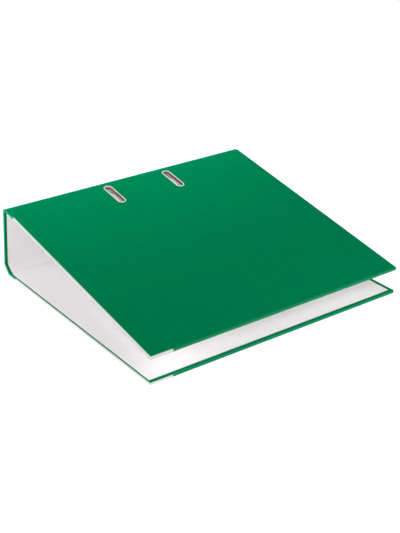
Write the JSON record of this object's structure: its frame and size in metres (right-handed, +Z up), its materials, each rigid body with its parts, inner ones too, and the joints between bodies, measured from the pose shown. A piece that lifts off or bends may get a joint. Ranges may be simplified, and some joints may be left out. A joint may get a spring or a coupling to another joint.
{
  "type": "lever arch file",
  "caption": "Board file with a sloping front cover, slots for the arches, metal edge rails and a riveted lever arch mechanism with a compressor bar.",
  "frame": {"origin": "middle of the back cover's underside, on the surface that the closed file lies on", "axes": "+X from the spine to the fore edge, +Y from the bottom edge with the metal rails to the top edge, +Z up"},
  "size_m": [0.2947, 0.318, 0.0804],
  "materials": {
    "covering_paper": "satin embossed covering paper, deep green",
    "board_core": "raw grey board",
    "lining_paper": "matte white lining paper",
    "edge_rail": "bright nickel plated strip",
    "eyelet_nickel": "nickel plated",
    "mechanism_steel": "nickel plated steel",
    "dark_plastic": "moulded black plastic"
  },
  "bodies": {
    "back_cover": {"back_board": "board_core", "back_wrap": "covering_paper", "back_lining": "lining_paper", "back_rail": "edge_rail", "base_plate": "mechanism_steel", "rivets": "mechanism_steel", "lower_post": "mechanism_steel", "upper_post": "mechanism_steel", "torsion_spring": "mechanism_steel", "pivot_pin": "mechanism_steel"},
    "lower_strip": {"lower_strip_board": "board_core", "lower_strip_wrap": "covering_paper", "lower_strip_lining": "lining_paper"},
    "spine": {"spine_board": "board_core", "spine_wrap": "covering_paper", "spine_lining": "lining_paper", "finger_ring": "eyelet_nickel"},
    "upper_strip": {"upper_strip_board": "board_core", "upper_strip_wrap": "covering_paper", "upper_strip_lining": "lining_paper"},
    "front_cover": {"front_board": "board_core", "front_wrap": "covering_paper", "front_lining": "lining_paper", "front_rail": "edge_rail", "lower_eyelet": "eyelet_nickel", "upper_eyelet": "eyelet_nickel"},
    "arches": {"arch_wire": "mechanism_steel"},
    "lever": {"lever": "mechanism_steel", "roller_pin": "mechanism_steel"},
    "roller": {"roller": "dark_plastic"},
    "compressor": {"compressor_bar": "mechanism_steel", "grommets": "dark_plastic"}
  },
  "joints": [
    {"name": "spine_lower_fold", "type": "hinge", "parent": "back_cover", "child": "lower_strip", "pos_m": [-0.142, 0, 0], "axis": [0, -1, 0], "range_deg": [0, 45]},
    {"name": "spine_fold", "type": "hinge", "parent": "lower_strip", "child": "spine", "pos_m": [-0.15147, 0, 0.00948], "axis": [0, -1, 0], "range_deg": [0, 51.6]},
    {"name": "cover_fold", "type": "hinge", "parent": "spine", "child": "upper_strip", "pos_m": [-0.14336, 0, 0.07961], "axis": [0, -1, 0], "range_deg": [0, 76.9]},
    {"name": "cover_upper_fold", "type": "hinge", "parent": "upper_strip", "child": "front_cover", "pos_m": [-0.13641, 0, 0.0804], "axis": [0, -1, 0], "range_deg": [0, 16.6]},
    {"name": "lever_pivot", "type": "hinge", "parent": "back_cover", "child": "lever", "pos_m": [-0.1125, 0.02254, 0.01625], "axis": [-1, 0, 0], "range_deg": [0, 66]},
    {"name": "arch_swing", "type": "hinge", "parent": "back_cover", "child": "arches", "pos_m": [-0.1205, 0, 0.009], "axis": [0, -1, 0], "range_deg": [0, 12]},
    {"name": "roller_spin", "type": "hinge", "parent": "lever", "child": "roller", "pos_m": [-0.1125, 0.021, 0.0115], "axis": [1, 0, 0], "continuous": true},
    {"name": "compressor_slide", "type": "slide", "parent": "back_cover", "child": "compressor", "axis": [0, 0, 1], "range_m": [0, 0.04]}
  ],
  "couplings": [
    {"joint": "spine_fold", "follows": "spine_lower_fold", "ratio": 1.1467},
    {"joint": "arch_swing", "follows": "lever_pivot", "ratio": 0.18182}
  ]
}
